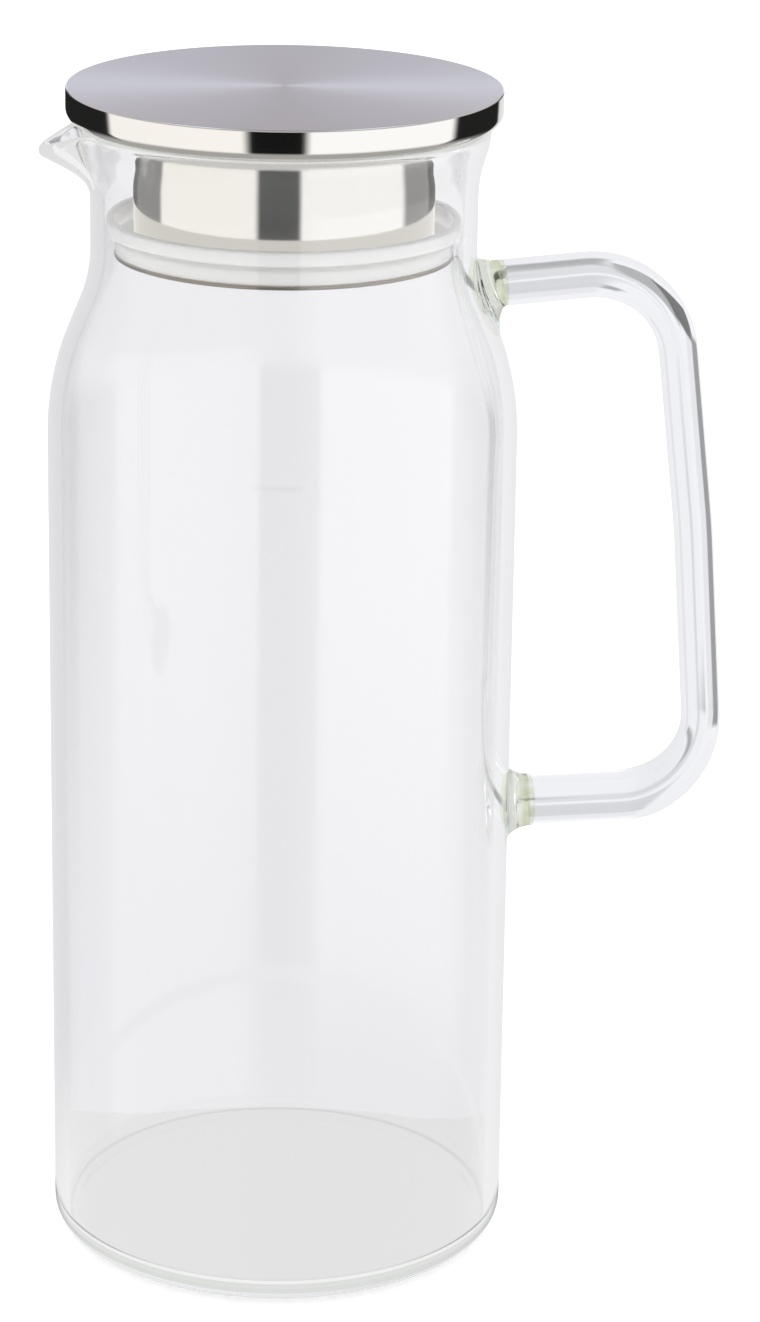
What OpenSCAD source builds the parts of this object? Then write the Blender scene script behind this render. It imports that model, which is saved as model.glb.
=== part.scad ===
// Glass pitcher with a fused handle, a pulled pouring lip and a lift-out steel lid.
// Millimetres, +Z up. The origin is the centre of the base on the table, the handle
// stands towards +X and the pouring lip points towards -X.

/* [Glass body] */
// Outer diameter of the straight wall
body_d = 105; // [98:0.5:115]
// Height of the glass rim above the table
rim_z = 261.5; // [252:0.1:290]
// Thickness of the blown wall
glass_wall = 3; // [2:0.1:4]
// Thickness of the glass floor
floor_t = 4; // [3:0.1:8]
// Rounding of the outer corner at the base
base_edge_r = 5.3; // [4:0.1:8]
// Rounding of the inner corner above the floor
floor_edge_r = 2.5; // [1:0.1:5]

/* [Shoulder and neck] */
// Outer diameter of the neck
neck_d = 85.4; // [78:0.1:92]
// Distance from the rim down to where the shoulder leaves the straight wall
shoulder_drop = 70.7; // [66:0.1:95]
// Radius of the outward curve of the shoulder
shoulder_r = 63.2; // [45:0.1:75]
// Radius of the inward curve under the neck
neck_sweep_r = 32.6; // [20:0.1:40]
// Length of the straight slope between the two curves
slope_len = 7; // [2:0.1:12]

/* [Rim and pouring lip] */
// Height of the flared rim above the straight neck
rim_h = 17.5; // [14:0.1:20]
// How far the rim flares out beyond the neck
rim_flare = 2.6; // [1:0.1:4]
// How far the pouring lip reaches beyond the neck
lip_reach = 11.4; // [7:0.1:14]
// How far the tip of the pouring lip dips below the rim
lip_dip = 4; // [2:0.1:7]
// Half width of the pouring lip as an angle at the axis, in degrees
lip_spread = 8.2; // [6:0.1:11]

/* [Handle] */
// Distance from the rim down to the top arm at its weld
top_arm_drop = 37.9; // [33:0.1:46]
// Rise of the top arm from its weld to its corner
top_arm_rise = 2.6; // [0:0.1:6]
// Distance from the top arm down to the bottom arm
arm_span = 123.6; // [105:0.1:150]
// Distance from the straight wall to the middle of the grip at its top corner
grip_gap_top = 35.7; // [30:0.1:45]
// Distance from the straight wall to the middle of the grip at its bend
grip_gap_mid = 43.1; // [36:0.1:50]
// Distance from the straight wall to the middle of the grip at its bottom corner
grip_gap_bottom = 47.9; // [40:0.1:55]
// Distance from the top arm down to the slight bend in the grip
grip_bend_drop = 59.6; // [50:0.1:70]
// Radius of the slight bend in the grip
grip_bend_r = 207; // [120:1:260]
// Radius of the rod's middle line at the top corner
top_corner_r = 21; // [15:0.1:26]
// Radius of the rod's middle line at the bottom corner
bottom_corner_r = 18.4; // [14:0.1:24]
// Thickness of the top arm, seen from the side
top_arm_t = 10.4; // [8:0.1:13]
// Thickness of the grip, seen from the side
grip_t = 8.9; // [7:0.1:12]
// Thickness of the bottom arm, seen from the side
bottom_arm_t = 12.2; // [9:0.1:14]
// Width of the glass rod, seen from the end
rod_w = 11.4; // [8:0.1:14]

/* [Welds] */
// Length of the upper weld, from the neck to the rod
top_weld_len = 5.5; // [4:0.1:8]
// Length of the lower weld, from the wall to the rod
bottom_weld_len = 6.4; // [4:0.1:9]
// How far a weld spreads on the wall beyond the rod
weld_spread = 4.6; // [2:0.1:6]
// How far the upper weld spreads upwards
top_weld_rise = 1.8; // [1:0.1:4]
// How far the upper weld has run down the shoulder
top_weld_run = 6.5; // [4:0.1:9]

/* [Lid] */
// Diameter of the lid
lid_d = 95.8; // [94:0.1:110]
// Thickness of the whole lid
lid_t = 7.2; // [5:0.1:9]
// Gap between the glass rim and the underside of the lid
lid_gap = 0.4; // [0.3:0.1:1.5]
// Thickness of the sheet steel
steel_t = 0.8; // [0.5:0.1:1]
// Rounding of the lid's upper edge
lid_top_edge_r = 0.5; // [0.3:0.1:1.2]
// Rounding of the lid's lower edge
lid_low_edge_r = 2.5; // [1.2:0.1:2.6]
// Width of the rolled edge under the lid
lid_curl_w = 3; // [2:0.1:5]

/* [Plug and seal] */
// Radial gap between the steel plug and the bore of the neck
plug_gap = 6.6; // [6:0.1:9]
// Radial gap between the plug's bottom flange and the bore of the neck
flange_gap = 2.3; // [1:0.1:3.5]
// Depth of the plug below the lid, with its flange
plug_len = 29.3; // [26:0.1:34]
// Running clearance between the plug and the seal
seal_play = 0.05; // [0.03:0.01:0.09]
// Play between the flange and the seal that rests on it
seal_lift = 0.1; // [0.05:0.01:0.3]
// Clearance between the seal and the bore of the neck
neck_play = 0.3; // [0.2:0.05:0.6]
// How far the seal's lower band lies inside the flange's edge
band_inset = 0.1; // [0:0.05:0.6]
// Height of the seal's lower band
band_h = 4.6; // [3:0.1:6]
// Thickness of the web that carries the sealing lip
web_t = 1.3; // [0.8:0.1:2]
// Height of the sealing lip with its web
seal_lip_h = 3.1; // [2.4:0.1:5]
// Width of the sealing lip
seal_lip_w = 2.3; // [1.6:0.1:2.8]
// Rounding of the sealing lip's edges
seal_edge_r = 0.6; // [0.3:0.1:0.75]

/* [Hidden] */
$fn = 96;

// Steps in the curves of the outlines, and in the rings of the fused pieces
curve_steps = 12;
edge_steps = 4;
rim_steps = 10;
lip_end_steps = 6;
lip_ring_steps = 31;
rod_sides = 24;
corner_steps = 10;
grip_bend_steps = 3;
weld_steps = 6;

body_r = body_d / 2;
neck_r = neck_d / 2;
bore_r = neck_r - glass_wall;

// The shoulder is two arcs with a straight slope between them. Its angle follows from
// the step between wall and neck.
shoulder_z = rim_z - shoulder_drop;
sweep_sum = shoulder_r + neck_sweep_r;
slope_span = norm([sweep_sum, slope_len]);
slope_a = acos((sweep_sum - body_r + neck_r) / slope_span) - atan2(slope_len, sweep_sum);
slope_low_z = shoulder_z + shoulder_r * sin(slope_a);
slope_high_z = slope_low_z + slope_len * cos(slope_a);
neck_z = slope_high_z + neck_sweep_r * sin(slope_a);

// The rim's middle line is a cubic curve. Its poles are shares of its reach and height,
// all round and at the pouring lip, and the lip fades into the rim as a bell curve.
flare_z = rim_z - rim_h;
wall_mid_r = neck_r - glass_wall / 2;
rim_pole_shares = [[0, 0], [0, 0.625], [0.92, 0.685], [1, 1]];
lip_pole_shares = [[0, 0], [0, 0.53], [0.36, 0.67], [1, 1]];
lip_fade_share = 3.6;
lip_sector_a = lip_spread * lip_fade_share;

// The lip's own solid is a hair thinner than the rim and starts inside it, so that the
// two melt into one piece of glass.
melt = 0.1;
melt_depth = 0.6;
melt_a = 0.8;
overrun = 1;

// Inner radius of the bend under the lid's upper edge
lid_bend_r = 0.3;

lid_r = lid_d / 2;
lid_low_z = rim_z + lid_gap;
lid_top_z = lid_low_z + lid_t;
underplate_z = lid_low_z + steel_t;
plug_r = bore_r - plug_gap;
flange_r = bore_r - flange_gap;
flange_z = lid_low_z - plug_len;
flange_top_z = flange_z + steel_t;
seal_z = flange_top_z + seal_lift;
web_z = seal_z + band_h;
seal_lip_r = bore_r - neck_play;

function unit(v) = v / norm(v);
function turned(v, a) = [v.x * cos(a) - v.y * sin(a), v.x * sin(a) + v.y * cos(a)];
function blend(a, b, t) = a + (b - a) * t;
function arc(centre, r, from, to, steps) =
    [for (i = [0 : steps]) centre + r * turned([1, 0], blend(from, to, i / steps))];
function flipped(points) = [for (i = [len(points) - 1 : -1 : 0]) points[i]];

// Outer radius of the glass at a height below the rim
function wall_r(z) =
    z <= shoulder_z ? body_r
    : z <= slope_low_z ? body_r - shoulder_r + sqrt(pow(shoulder_r, 2) - pow(z - shoulder_z, 2))
    : z <= slope_high_z ? neck_r + neck_sweep_r * (1 - cos(slope_a)) + (slope_high_z - z) * tan(slope_a)
    : z <= neck_z ? neck_r + neck_sweep_r - sqrt(pow(neck_sweep_r, 2) - pow(neck_z - z, 2))
    : neck_r;

// Shoulder and neck, from the straight wall upwards, at a depth inside the outer face
function shoulder_line(depth) = concat(
    arc([body_r - shoulder_r, shoulder_z], shoulder_r - depth, 0, slope_a, curve_steps),
    arc([neck_r + neck_sweep_r, neck_z], neck_sweep_r + depth, 180 + slope_a, 180, curve_steps));

// Middle line of the rim, 0 all round and 1 at the pouring lip
function rim_size(lip) = blend([rim_flare, rim_h - glass_wall / 2],
    [lip_reach, rim_h - glass_wall / 2 - lip_dip], lip);
function rim_pole(i, lip) = let (
    plain = [rim_pole_shares[i].x * rim_size(0).x, rim_pole_shares[i].y * rim_size(0).y],
    pulled = [lip_pole_shares[i].x * rim_size(1).x, lip_pole_shares[i].y * rim_size(1).y])
    [wall_mid_r, flare_z] + blend(plain, pulled, lip);
function rim_mid(u, lip) = pow(1 - u, 3) * rim_pole(0, lip) + 3 * pow(1 - u, 2) * u * rim_pole(1, lip)
    + 3 * (1 - u) * pow(u, 2) * rim_pole(2, lip) + pow(u, 3) * rim_pole(3, lip);
function rim_heading(u, lip) = unit(pow(1 - u, 2) * (rim_pole(1, lip) - rim_pole(0, lip))
    + 2 * (1 - u) * u * (rim_pole(2, lip) - rim_pole(1, lip))
    + pow(u, 2) * (rim_pole(3, lip) - rim_pole(2, lip)));
function rim_side(half, turn, lip) = [for (i = [0 : rim_steps])
    rim_mid(i / rim_steps, lip) + half * turned(rim_heading(i / rim_steps, lip), turn)];
function rim_end(half, lip) = [for (i = [1 : lip_end_steps - 1])
    rim_mid(1, lip) + half * turned(rim_heading(1, lip), blend(-90, 90, i / lip_end_steps))];
function rim_section(half, lip) = concat(rim_side(half, -90, lip), rim_end(half, lip),
    flipped(rim_side(half, 90, lip)));

function foot_line() = concat([[0, 0]],
    arc([body_r - base_edge_r, base_edge_r], base_edge_r, -90, 0, edge_steps));
function glass_outline() = concat(foot_line(), shoulder_line(0), rim_section(glass_wall / 2, 0),
    flipped(shoulder_line(glass_wall)),
    arc([body_r - glass_wall - floor_edge_r, floor_t + floor_edge_r], floor_edge_r, 0, -90, edge_steps),
    [[0, floor_t]]);

// One closed skin over rings of points, each ring with as many points as the next
module loft(rings) {
    sides = len(rings[0]);
    last = (len(rings) - 1) * sides;
    skin = [for (i = [0 : len(rings) - 2], j = [0 : sides - 1])
        let (a = i * sides + j, b = i * sides + (j + 1) % sides)
        each [[a, b, b + sides], [a, b + sides, a + sides]]];
    ends = [[for (j = [sides - 1 : -1 : 0]) j], [for (j = [0 : sides - 1]) last + j]];
    polyhedron([for (ring = rings) each ring], concat(skin, ends), convexity = 6);
}

// A ring of the rod, square to its heading in the plane of the handle
function rod_ring(centre, heading, above, below, half_w) = let (up = turned(heading, 90))
    [for (j = [0 : rod_sides - 1]) let (a = 360 * j / rod_sides, reach = sin(a) > 0 ? above : below,
        place = centre + up * reach * sin(a)) [place.x, half_w * cos(a), place.y]];

// The handle's middle line as stations of place, heading and half thickness
top_arm_z = rim_z - top_arm_drop;
bottom_arm_z = top_arm_z - arm_span;
top_end = [wall_r(top_arm_z) + top_weld_len, top_arm_z];
top_corner = [body_r + grip_gap_top, top_arm_z + top_arm_rise];
grip_bend = [body_r + grip_gap_mid, top_arm_z - grip_bend_drop];
bottom_corner = [body_r + grip_gap_bottom, bottom_arm_z];
bottom_end = [wall_r(bottom_arm_z) + bottom_weld_len, bottom_arm_z];

function corner_stations(from, at, to, r, t_in, t_out, steps) = let (
    back = unit(from - at), ahead = unit(to - at), half_a = acos(back * ahead) / 2,
    centre = at + unit(back + ahead) * r / sin(half_a), start = at + back * r / tan(half_a) - centre)
    [for (i = [0 : steps]) let (a = -blend(0, 180 - 2 * half_a, i / steps))
        [centre + turned(start, a), turned(-back, a), blend(t_in, t_out, i / steps) / 2]];

handle_stations = concat(
    [[top_end, unit(top_corner - top_end), top_arm_t / 2]],
    corner_stations(top_end, top_corner, grip_bend, top_corner_r, top_arm_t, grip_t, corner_steps),
    corner_stations(top_corner, grip_bend, bottom_corner, grip_bend_r, grip_t, grip_t, grip_bend_steps),
    corner_stations(grip_bend, bottom_corner, bottom_end, bottom_corner_r, grip_t, bottom_arm_t, corner_steps),
    [[bottom_end, unit(bottom_end - bottom_corner), bottom_arm_t / 2]]);

// A weld is a concave skirt of glass round the rod's end, buried in the wall at first
module weld(end, heading, half_t, length, above, below) {
    buried = rod_ring(end - heading * (length + glass_wall), heading,
        half_t + above, half_t + below, rod_w / 2 + weld_spread);
    skirt = [for (k = [0 : weld_steps]) let (a = 90 * k / weld_steps, more = 1 - sin(a))
        rod_ring(end - heading * length * cos(a), heading,
            half_t + above * more, half_t + below * more, rod_w / 2 + weld_spread * more)];
    difference() {
        loft(concat([buried], skirt));
        rotate_extrude() polygon(concat(foot_line(), shoulder_line(0), [[neck_r, rim_z], [0, rim_z]]));
    }
}

module glass_body() {
    color("aliceblue", 0.4) union() {
        difference() {
            rotate_extrude() polygon(glass_outline());
            translate([0, 0, flare_z]) linear_extrude(rim_h + overrun) polygon(concat([[0, 0]],
                arc([0, 0], body_d, 180 - lip_sector_a, 180 + lip_sector_a, edge_steps)));
        }
        pouring_lip();
    }
}

module pouring_lip() {
    half = glass_wall / 2 - melt;
    root = [[wall_mid_r - half, flare_z - melt_depth], [wall_mid_r + half, flare_z - melt_depth]];
    loft([for (i = [0 : lip_ring_steps])
        let (a = blend(-lip_sector_a - melt_a, lip_sector_a + melt_a, i / lip_ring_steps),
            lip = exp(-pow(a / lip_spread, 2)))
        [for (p = concat(root, rim_section(half, lip))) [-p.x * cos(a), -p.x * sin(a), p.y]]]);
}

module handle() {
    color("lightblue", 0.5) loft([for (s = handle_stations) rod_ring(s[0], s[1], s[2], s[2], rod_w / 2)]);
}

module upper_weld() {
    color("darkseagreen", 0.6) weld(top_end, unit(top_corner - top_end), top_arm_t / 2, top_weld_len,
        top_weld_rise, top_weld_run);
}

module lower_weld() {
    color("darkseagreen", 0.6) weld(bottom_end, unit(bottom_corner - bottom_end), bottom_arm_t / 2,
        bottom_weld_len, weld_spread, weld_spread);
}

// The pressed top of the lid, whose edge is rolled under
module lid_shell() {
    low_edge = [lid_r - lid_low_edge_r, lid_low_z + lid_low_edge_r];
    top_edge = [lid_r - lid_top_edge_r, lid_top_z - lid_top_edge_r];
    bend = [lid_r - steel_t - lid_bend_r, lid_top_z - steel_t - lid_bend_r];
    curl_r = low_edge.x - lid_curl_w;
    color("silver") rotate_extrude() polygon(concat(
        [[0, lid_top_z - steel_t]],
        arc(bend, lid_bend_r, 90, 0, edge_steps),
        arc(low_edge, lid_low_edge_r - steel_t, 0, -90, edge_steps),
        [[curl_r, underplate_z], [curl_r, lid_low_z]],
        arc(low_edge, lid_low_edge_r, -90, 0, edge_steps),
        arc(top_edge, lid_top_edge_r, 0, 90, edge_steps),
        [[0, lid_top_z]]));
}

// The flat plate that closes the lid from below and lies on its rolled edge
module lid_underplate() {
    color("gainsboro") translate([0, 0, underplate_z]) cylinder(r = lid_r - lid_low_edge_r, h = steel_t);
}

// The wall of the plug, which the seal turns on
module plug_sleeve() {
    color("darkgray") translate([0, 0, flange_top_z]) difference() {
        cylinder(r = plug_r, h = underplate_z - flange_top_z);
        translate([0, 0, -overrun])
            cylinder(r = plug_r - steel_t, h = underplate_z - flange_top_z + 2 * overrun);
    }
}

// The floor of the plug, whose edge stands out as a flange and carries the seal
module plug_floor() {
    color("gray") translate([0, 0, flange_z]) cylinder(r = flange_r, h = steel_t);
}

// The silicone seal: a band round the plug, and a lip that closes the neck
module seal_ring() {
    band_r = flange_r - band_inset;
    lip_top_z = web_z + seal_lip_h;
    lip_in_r = seal_lip_r - seal_lip_w;
    color("whitesmoke") rotate_extrude() polygon(concat(
        [[plug_r + seal_play, seal_z], [band_r, seal_z], [band_r, web_z]],
        arc([seal_lip_r - seal_edge_r, web_z + seal_edge_r], seal_edge_r, -90, 0, edge_steps),
        arc([seal_lip_r - seal_edge_r, lip_top_z - seal_edge_r], seal_edge_r, 0, 90, edge_steps),
        arc([lip_in_r + seal_edge_r, lip_top_z - seal_edge_r], seal_edge_r, 90, 180, edge_steps),
        [[lip_in_r, web_z + web_t], [plug_r + seal_play, web_z + web_t]]));
}

glass_body();
handle();
upper_weld();
lower_weld();
lid_shell();
lid_underplate();
plug_sleeve();
plug_floor();
seal_ring();
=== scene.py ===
# %% [markdown]
# # A glass pitcher with a steel lid
# The real object is one piece of blown borosilicate glass with a bent rod fused on as its
# handle, and a hollow steel plug lid with a silicone seal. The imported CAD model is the
# frame: it says where each piece is and how it moves. Its pieces are tessellated, and glass
# shows every facet, so here each piece gets a smooth mesh of the same shape, made from the
# same sizes, and rides on the same body.

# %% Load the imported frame
import math

import bmesh
import bpy
from mathutils import Matrix, Vector


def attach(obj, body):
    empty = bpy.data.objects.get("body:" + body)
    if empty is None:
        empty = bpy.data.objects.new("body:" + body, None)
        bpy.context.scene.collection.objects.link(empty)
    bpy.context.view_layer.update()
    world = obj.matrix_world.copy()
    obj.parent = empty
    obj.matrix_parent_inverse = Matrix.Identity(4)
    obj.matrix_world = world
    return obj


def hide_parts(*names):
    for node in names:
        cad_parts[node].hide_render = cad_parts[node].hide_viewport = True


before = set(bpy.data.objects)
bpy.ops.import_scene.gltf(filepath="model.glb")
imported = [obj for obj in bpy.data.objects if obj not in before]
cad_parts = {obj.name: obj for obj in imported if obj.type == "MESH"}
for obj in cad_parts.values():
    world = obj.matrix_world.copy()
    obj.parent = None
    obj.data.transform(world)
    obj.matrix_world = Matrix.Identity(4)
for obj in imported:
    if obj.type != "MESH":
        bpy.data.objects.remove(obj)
bpy.context.view_layer.update()

# %% [markdown]
# ## The camera
# The camera looks down a little at the jug from in front, with the lip on the left and the
# handle on the right. Its place, heading and lens come from fitting a pinhole camera to the
# ellipses of the lid, the walls and the base. Its place is written in millimetres, as all
# sizes of the pitcher are, and turned to metres when Blender gets it.

# %% Place the camera
MM = 0.001
CAMERA_PLACE = (-147.5, -931.4, 455.7)
CAMERA_YAW, CAMERA_PITCH, CAMERA_ROLL = (math.radians(a) for a in (10.369, 18.680, 0.855))
SENSOR_HEIGHT, LENS, NEAREST_SEEN = 24, 79.33, 0.01

view_forward = Vector((math.sin(CAMERA_YAW) * math.cos(CAMERA_PITCH),
                       math.cos(CAMERA_YAW) * math.cos(CAMERA_PITCH), -math.sin(CAMERA_PITCH)))
view_level = Vector((math.cos(CAMERA_YAW), -math.sin(CAMERA_YAW), 0))
view_upward = view_level.cross(view_forward)
view_right = view_level * math.cos(CAMERA_ROLL) + view_upward * math.sin(CAMERA_ROLL)
view_up = view_upward * math.cos(CAMERA_ROLL) - view_level * math.sin(CAMERA_ROLL)

camera = bpy.data.objects.new("camera", bpy.data.cameras.new("camera"))
bpy.context.scene.collection.objects.link(camera)
camera.matrix_world = Matrix((
    (view_right.x, view_up.x, -view_forward.x, CAMERA_PLACE[0] * MM),
    (view_right.y, view_up.y, -view_forward.y, CAMERA_PLACE[1] * MM),
    (view_right.z, view_up.z, -view_forward.z, CAMERA_PLACE[2] * MM),
    (0, 0, 0, 1)))
camera.data.sensor_fit = "VERTICAL"
camera.data.sensor_height = SENSOR_HEIGHT
camera.data.lens = LENS
camera.data.clip_start = NEAREST_SEEN
bpy.context.scene.camera = camera
print("camera at", [round(v, 3) for v in camera.location], "m")

# %% [markdown]
# ## The outline of the jug
# Half a section through the jug says almost everything about it: a flat base, a rounded
# corner, a straight wall, a shoulder of two arcs with a short slope between them, a straight
# neck and a flared rim. The same numbers as in the CAD source are used, in millimetres.

# %% Sizes of the jug
BODY_R, NECK_R, GLASS_WALL, FLOOR_T = 52.5, 42.7, 3, 4
BASE_EDGE_R, FLOOR_EDGE_R = 5.3, 2.5
RIM_Z, SHOULDER_Z = 261.5, 190.8
SHOULDER_R, NECK_SWEEP_R, SLOPE_LEN = 63.2, 32.6, 7
RIM_H, RIM_FLARE = 17.5, 2.6
LIP_REACH, LIP_DIP, LIP_SPREAD = 11.4, 4, math.radians(8.2)
FLARE_Z = RIM_Z - RIM_H
WALL_MID_R = NECK_R - GLASS_WALL / 2
BORE_R = NECK_R - GLASS_WALL

sweep_sum = SHOULDER_R + NECK_SWEEP_R
slope_a = (math.acos((sweep_sum - BODY_R + NECK_R) / math.hypot(sweep_sum, SLOPE_LEN))
           - math.atan2(SLOPE_LEN, sweep_sum))
slope_low_z = SHOULDER_Z + SHOULDER_R * math.sin(slope_a)
slope_high_z = slope_low_z + SLOPE_LEN * math.cos(slope_a)
neck_z = slope_high_z + NECK_SWEEP_R * math.sin(slope_a)
print("shoulder slope", round(math.degrees(slope_a), 2), "degrees, neck from", round(neck_z, 1))


QUARTER = math.pi / 2


def blend(a, b, t):
    return a + (b - a) * t


def arc(centre, r, start, end, steps):
    """Points (radius, height) on an arc, with its angles in radians."""
    return [(centre[0] + r * math.cos(blend(start, end, i / steps)),
             centre[1] + r * math.sin(blend(start, end, i / steps))) for i in range(steps + 1)]


def wall_r(z):
    """Outer radius of the glass at a height below the rim."""
    if z <= SHOULDER_Z:
        return BODY_R
    if z <= slope_low_z:
        return BODY_R - SHOULDER_R + math.sqrt(SHOULDER_R ** 2 - (z - SHOULDER_Z) ** 2)
    if z <= slope_high_z:
        return (NECK_R + NECK_SWEEP_R * (1 - math.cos(slope_a))
                + (slope_high_z - z) * math.tan(slope_a))
    if z <= neck_z:
        return NECK_R + NECK_SWEEP_R - math.sqrt(NECK_SWEEP_R ** 2 - (neck_z - z) ** 2)
    return NECK_R


# %% [markdown]
# The rim was flared in the flame, and its lip pulled out with a tool. Its middle line is a
# cubic curve from the neck to the edge. There are two such curves, one for the plain rim and
# one for the tip of the lip, and a bell curve round the axis blends them.

# %% The rim and its pouring lip
RIM_POLES = [(0, 0), (0, 0.625), (0.92, 0.685), (1, 1)]
LIP_POLES = [(0, 0), (0, 0.53), (0.36, 0.67), (1, 1)]
EDGE_STEPS, CURVE_STEPS, RIM_STEPS, RIM_END_STEPS = 10, 20, 16, 8


def rim_poles(lip):
    """Poles of the rim's middle line, for lip from 0 on the plain rim to 1 at the tip."""
    height = RIM_H - GLASS_WALL / 2
    return [Vector((WALL_MID_R + blend(p[0] * RIM_FLARE, q[0] * LIP_REACH, lip),
                    FLARE_Z + blend(p[1] * height, q[1] * (height - LIP_DIP), lip)))
            for p, q in zip(RIM_POLES, LIP_POLES)]


def rim_section(lip):
    """Outline of the rim from the outer face over the edge to the inner face."""
    a, b, c, d = rim_poles(lip)
    outer, inner = [], []
    for i in range(RIM_STEPS + 1):
        u = i / RIM_STEPS
        middle = a * (1 - u) ** 3 + b * 3 * (1 - u) ** 2 * u + c * 3 * (1 - u) * u ** 2 + d * u ** 3
        heading = ((b - a) * (1 - u) ** 2 + (c - b) * 2 * (1 - u) * u + (d - c) * u ** 2).normalized()
        side = Vector((heading.y, -heading.x)) * GLASS_WALL / 2
        outer.append(middle + side)
        inner.append(middle - side)
    end = []
    for i in range(1, RIM_END_STEPS):
        turn = math.pi * i / RIM_END_STEPS
        end.append(middle + side * math.cos(turn) + heading * GLASS_WALL / 2 * math.sin(turn))
    return [tuple(p) for p in outer + end + inner[::-1]]


def jug_outline(lip):
    """Half a section of the glass, from the middle of the base to the middle of the floor."""
    outside = (arc((BODY_R - BASE_EDGE_R, BASE_EDGE_R), BASE_EDGE_R, -QUARTER, 0, EDGE_STEPS)
               + arc((BODY_R - SHOULDER_R, SHOULDER_Z), SHOULDER_R, 0, slope_a, CURVE_STEPS)
               + arc((NECK_R + NECK_SWEEP_R, neck_z), NECK_SWEEP_R, 2 * QUARTER + slope_a,
                     2 * QUARTER, CURVE_STEPS))
    inside = (arc((BODY_R - SHOULDER_R, SHOULDER_Z), SHOULDER_R - GLASS_WALL, 0, slope_a,
                  CURVE_STEPS)
              + arc((NECK_R + NECK_SWEEP_R, neck_z), NECK_SWEEP_R + GLASS_WALL,
                    2 * QUARTER + slope_a, 2 * QUARTER, CURVE_STEPS))
    floor = arc((BODY_R - GLASS_WALL - FLOOR_EDGE_R, FLOOR_T + FLOOR_EDGE_R), FLOOR_EDGE_R, 0,
                -QUARTER, EDGE_STEPS)
    return [(0, 0)] + outside + rim_section(lip) + inside[::-1] + floor + [(0, FLOOR_T)]


print("points in the jug's outline:", len(jug_outline(0)))

# %% [markdown]
# ## From outlines to meshes
# A turned piece is its outline carried round the axis. One function does it for the jug,
# whose outline changes at the lip, and for the plain turned pieces of the lid. The steps
# round the axis can lie closer together at the lip, where the glass bends most.

# %% Functions that make meshes
def new_piece(name, points, faces):
    """A smooth-shaded mesh object from points in millimetres."""
    mesh = bpy.data.meshes.new(name)
    mesh.from_pydata([Vector(p) * MM for p in points], [], faces)
    mesh.validate()
    bm = bmesh.new()
    bm.from_mesh(mesh)
    bmesh.ops.recalc_face_normals(bm, faces=bm.faces)
    bm.to_mesh(mesh)
    bm.free()
    mesh.shade_smooth()
    piece = bpy.data.objects.new(name, mesh)
    bpy.context.scene.collection.objects.link(piece)
    return piece


def turned_piece(name, outline_at, angles):
    """Carries the outline for each angle round the axis. Ends on the axis close to a point."""
    outlines = [outline_at(a) for a in angles]
    points, rings = [], []
    for i, (r, z) in enumerate(outlines[0]):
        if r == 0:
            rings.append([len(points)] * len(angles))
            points.append((0, 0, z))
            continue
        rings.append(list(range(len(points), len(points) + len(angles))))
        for a, outline in zip(angles, outlines):
            points.append((outline[i][0] * math.cos(a), outline[i][0] * math.sin(a), outline[i][1]))
    faces = []
    closed = outlines[0][0][0] != 0
    for low, high in zip(rings, rings[1:] + rings[:1] if closed else rings[1:]):
        for j in range(len(angles)):
            k = (j + 1) % len(angles)
            corner = [low[j], low[k], high[k], high[j]]
            faces.append([c for n, c in enumerate(corner) if c not in corner[:n]])
    return new_piece(name, points, faces)


def lofted_piece(name, rings):
    """Joins rings of points, each with as many points as the next, and closes both ends."""
    sides = len(rings[0])
    faces = [[i * sides + j, i * sides + (j + 1) % sides, (i + 1) * sides + (j + 1) % sides,
              (i + 1) * sides + j] for i in range(len(rings) - 1) for j in range(sides)]
    last = (len(rings) - 1) * sides
    faces += [list(range(sides))[::-1], list(range(last, last + sides))]
    return new_piece(name, [p for ring in rings for p in ring], faces)


# %% [markdown]
# ## The jug
# The jug is made by carrying its outline round the axis. At the pouring lip the outline
# changes as the bell curve says.

# %% Make the jug
JUG_STEPS, LIP_CROWDING = 288, 0.55


def jug_outline_at(angle):
    """The outline of the jug at an angle round the axis, with the lip at 180 degrees."""
    off_lip = math.remainder(angle - math.pi, 2 * math.pi)
    return jug_outline(math.exp(-(off_lip / LIP_SPREAD) ** 2))


def crowded_angles(steps, crowding):
    """Angles round the axis that lie closer together towards the lip at 180 degrees."""
    turns = [2 * math.pi * i / steps for i in range(steps)]
    return [math.pi + t - crowding * math.sin(t) for t in turns]


jug = turned_piece("jug_glass", jug_outline_at, crowded_angles(JUG_STEPS, LIP_CROWDING))
print("jug faces:", len(jug.data.polygons))

# %% [markdown]
# ## The handle
# The handle is a solid glass rod, bent in the flame. Its middle line has a short top arm, a
# corner, a long grip with a slight bend, a second corner and a bottom arm. A curve object
# with a bevel could make it, but the rod is thicker at the bottom arm and wider than thick,
# so rings are placed along the line instead.

# %% Sizes and middle line of the handle
TOP_ARM_Z, TOP_ARM_RISE, BOTTOM_ARM_Z, GRIP_BEND_Z = 223.6, 2.6, 100, 164
GRIP_GAP_TOP, GRIP_GAP_MID, GRIP_GAP_BOTTOM = 35.7, 43.1, 47.9
GRIP_BEND_R, TOP_CORNER_R, BOTTOM_CORNER_R = 207, 21, 18.4
TOP_ARM_T, GRIP_T, BOTTOM_ARM_T, ROD_W = 10.4, 8.9, 12.2, 11.4
TOP_WELD_LEN, BOTTOM_WELD_LEN = 5.5, 6.4
ROD_SIDES, CORNER_STEPS, GRIP_STEPS = 56, 28, 8

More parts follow.
